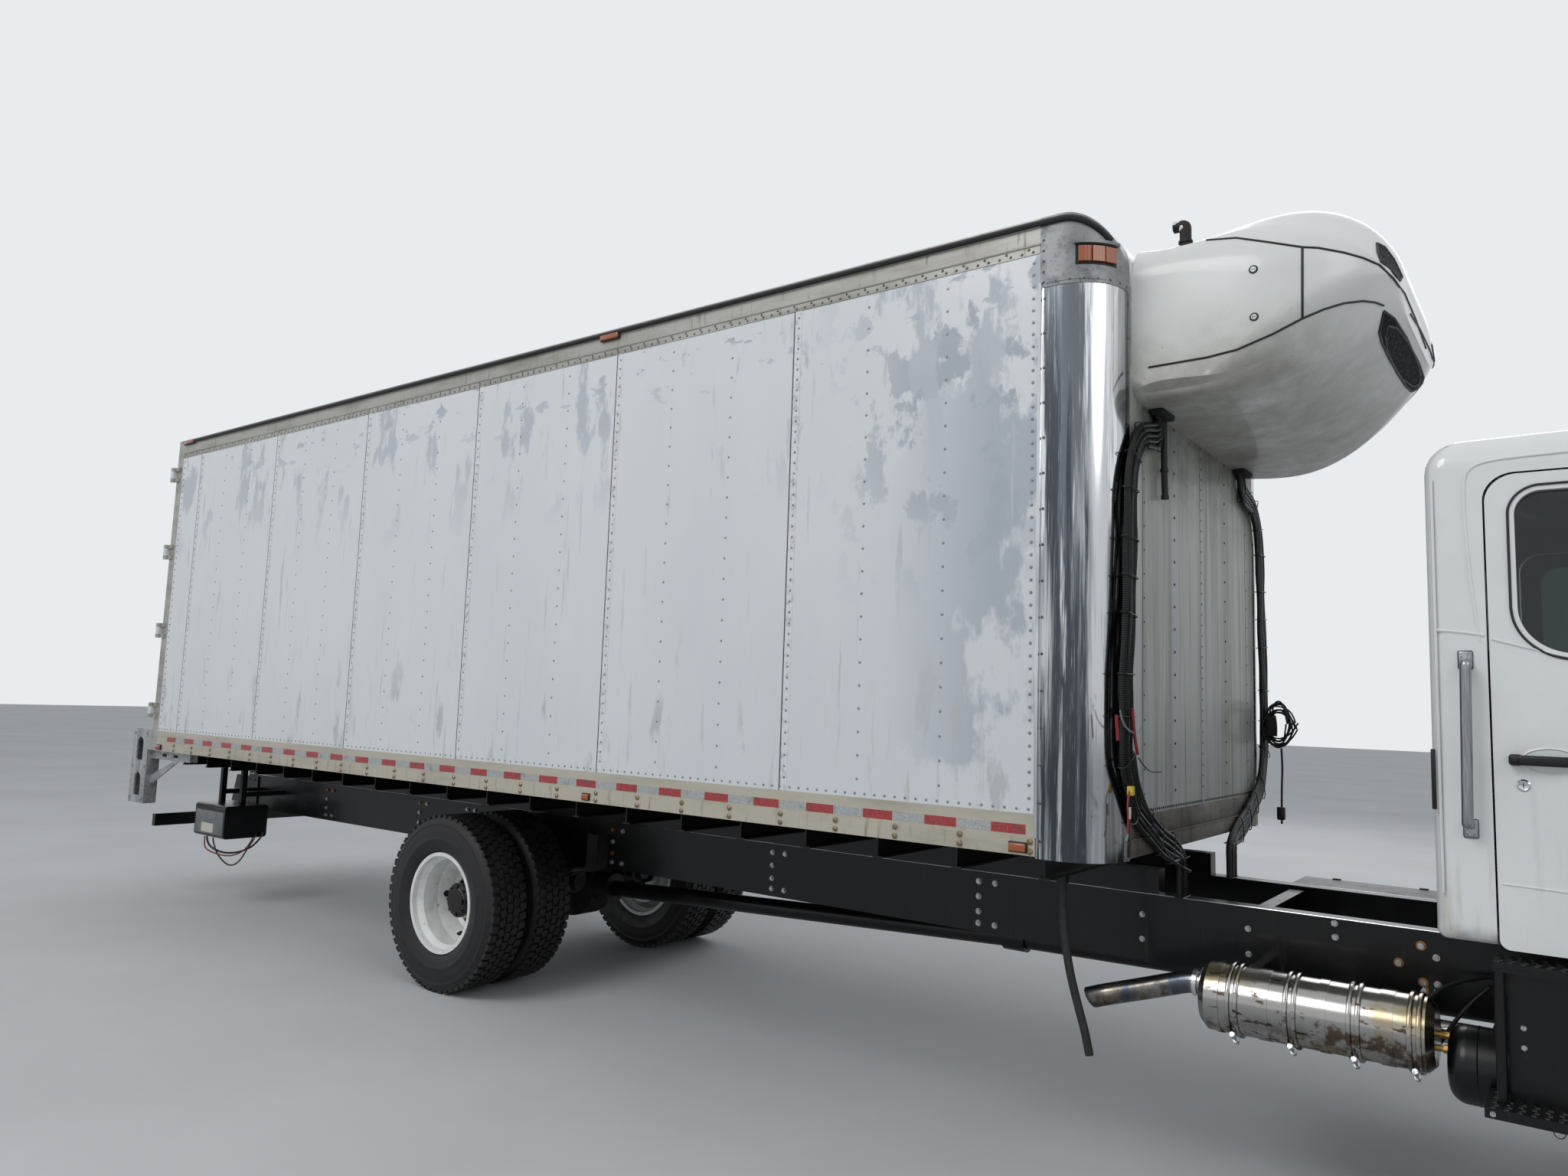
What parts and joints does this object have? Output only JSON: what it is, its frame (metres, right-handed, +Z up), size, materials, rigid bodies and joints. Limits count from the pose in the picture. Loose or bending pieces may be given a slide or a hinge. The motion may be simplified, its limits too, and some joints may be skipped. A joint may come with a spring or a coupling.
{
  "type": "refrigerated truck",
  "caption": "Conventional-cab box truck with an insulated load space, a nose-mounted cooling unit, twin rear wheels, opening doors, tilting hood and steered front wheels.",
  "frame": {"origin": "on the ground under the middle of the truck's length and width", "axes": "+X forwards along the truck, +Y to the driver's side, +Z up"},
  "size_m": [12.144, 2.6676, 3.956],
  "materials": {
    "black_paint": "satin",
    "white_paint": "gloss",
    "white_sheet": "satin, worn",
    "white_wheel_paint": "satin",
    "aluminium": "mill finish",
    "cast_aluminium": "as cast",
    "stainless": "polished, scratched",
    "galvanised": "galvanised",
    "hot_steel": "heat-tinted",
    "raw_iron": "as cast",
    "chrome": "polished",
    "tyre_rubber": "matte",
    "hose_rubber": "matte",
    "cable_sleeve": "matte",
    "unit_shell": "moulded",
    "grey_plastic": "moulded",
    "lamp_lens": "clear amber and red",
    "clear_lens": "clear",
    "seat_cloth": "woven",
    "glass": "tinted"
  },
  "bodies": {
    "chassis": {"frame": "black_paint", "subframe": "black_paint", "bumper": "chrome", "front_axle": "black_paint", "rear_axle": "black_paint", "leaf_springs": "black_paint", "propshaft": "black_paint", "engine_and_gearbox": "raw_iron", "radiator": "black_paint", "exhaust": "hot_steel", "air_tank": "black_paint", "fuel_tank": "aluminium", "entry_steps": "black_paint", "battery_box": "black_paint", "rear_step": "galvanised", "underride_guard": "black_paint", "power_pack": "black_paint", "box_floor": "aluminium", "side_walls": "white_sheet", "front_wall": "white_sheet", "box_roof": "white_sheet", "top_rails": "aluminium", "bottom_rails": "aluminium", "corner_posts": "stainless", "corner_caps": "cast_aluminium", "rear_frame": "galvanised", "marker_lamps": "lamp_lens", "evaporator": "unit_shell", "unit_housing": "unit_shell", "wall_cables": "cable_sleeve", "hanging_hose": "hose_rubber", "cab_shell": "white_paint", "cab_glass": "glass", "seats": "seat_cloth", "dashboard": "grey_plastic"},
    "hood": {"hood": "white_paint", "grille": "chrome", "headlamps": "clear_lens"},
    "tie_rod": {"tie_rod": "black_paint"},
    "cab_door_right": {"cab_door_right": "white_paint", "door_glass_right": "glass"},
    "rear_door_right": {"rear_door_right": "white_sheet", "lock_rods_right": "galvanised"},
    "knuckle_right": {"knuckle_right": "black_paint"},
    "front_wheel_right": {"front_rim_right": "white_wheel_paint", "front_tyre_right": "tyre_rubber"},
    "rear_wheels_right": {"rear_rims_right": "white_wheel_paint", "rear_tyres_right": "tyre_rubber"},
    "cab_door_left": {"cab_door_left": "white_paint", "door_glass_left": "glass"},
    "rear_door_left": {"rear_door_left": "white_sheet", "lock_rods_left": "galvanised"},
    "knuckle_left": {"knuckle_left": "black_paint"},
    "front_wheel_left": {"front_rim_left": "white_wheel_paint", "front_tyre_left": "tyre_rubber"},
    "rear_wheels_left": {"rear_rims_left": "white_wheel_paint", "rear_tyres_left": "tyre_rubber"}
  },
  "joints": [
    {"name": "front_wheel_right_spin", "type": "hinge", "parent": "knuckle_right", "child": "front_wheel_right", "pos_m": [5.072, -1.02, 0.522], "axis": [0, 1, 0], "continuous": true},
    {"name": "rear_wheels_right_spin", "type": "hinge", "parent": "chassis", "child": "rear_wheels_right", "pos_m": [-1.808, -1.03, 0.522], "axis": [0, 1, 0], "continuous": true},
    {"name": "steering_right", "type": "hinge", "parent": "chassis", "child": "knuckle_right", "pos_m": [5.072, -0.84, 0.522], "axis": [0, 0, 1], "range_deg": [-40, 40]},
    {"name": "cab_door_right_hinge", "type": "hinge", "parent": "chassis", "child": "cab_door_right", "pos_m": [4.621, -1.061, 1.49], "axis": [0, 0, 1], "range_deg": [0, 70]},
    {"name": "rear_door_right_hinge", "type": "hinge", "parent": "chassis", "child": "rear_door_right", "pos_m": [-5.757, -1.244, 2.4], "axis": [0, 0, 1], "range_deg": [0, 270]},
    {"name": "front_wheel_left_spin", "type": "hinge", "parent": "knuckle_left", "child": "front_wheel_left", "pos_m": [5.072, 1.02, 0.522], "axis": [0, 1, 0], "continuous": true},
    {"name": "rear_wheels_left_spin", "type": "hinge", "parent": "chassis", "child": "rear_wheels_left", "pos_m": [-1.808, 1.03, 0.522], "axis": [0, 1, 0], "continuous": true},
    {"name": "steering_left", "type": "hinge", "parent": "chassis", "child": "knuckle_left", "pos_m": [5.072, 0.84, 0.522], "axis": [0, 0, 1], "range_deg": [-40, 40]},
    {"name": "cab_door_left_hinge", "type": "hinge", "parent": "chassis", "child": "cab_door_left", "pos_m": [4.621, 1.061, 1.49], "axis": [0, 0, -1], "range_deg": [0, 70]},
    {"name": "rear_door_left_hinge", "type": "hinge", "parent": "chassis", "child": "rear_door_left", "pos_m": [-5.757, 1.244, 2.4], "axis": [0, 0, -1], "range_deg": [0, 270]},
    {"name": "hood_tilt", "type": "hinge", "parent": "chassis", "child": "hood", "pos_m": [6.03, 0, 0.902], "axis": [0, 1, 0], "range_deg": [0, 75]},
    {"name": "tie_rod_pivot", "type": "hinge", "parent": "knuckle_left", "child": "tie_rod", "pos_m": [4.892, 0.84, 0.425], "axis": [0, 0, 1], "range_deg": [-40, 40]}
  ],
  "couplings": [
    {"joint": "steering_right", "follows": "steering_left", "ratio": 1},
    {"joint": "tie_rod_pivot", "follows": "steering_left", "ratio": -1}
  ]
}
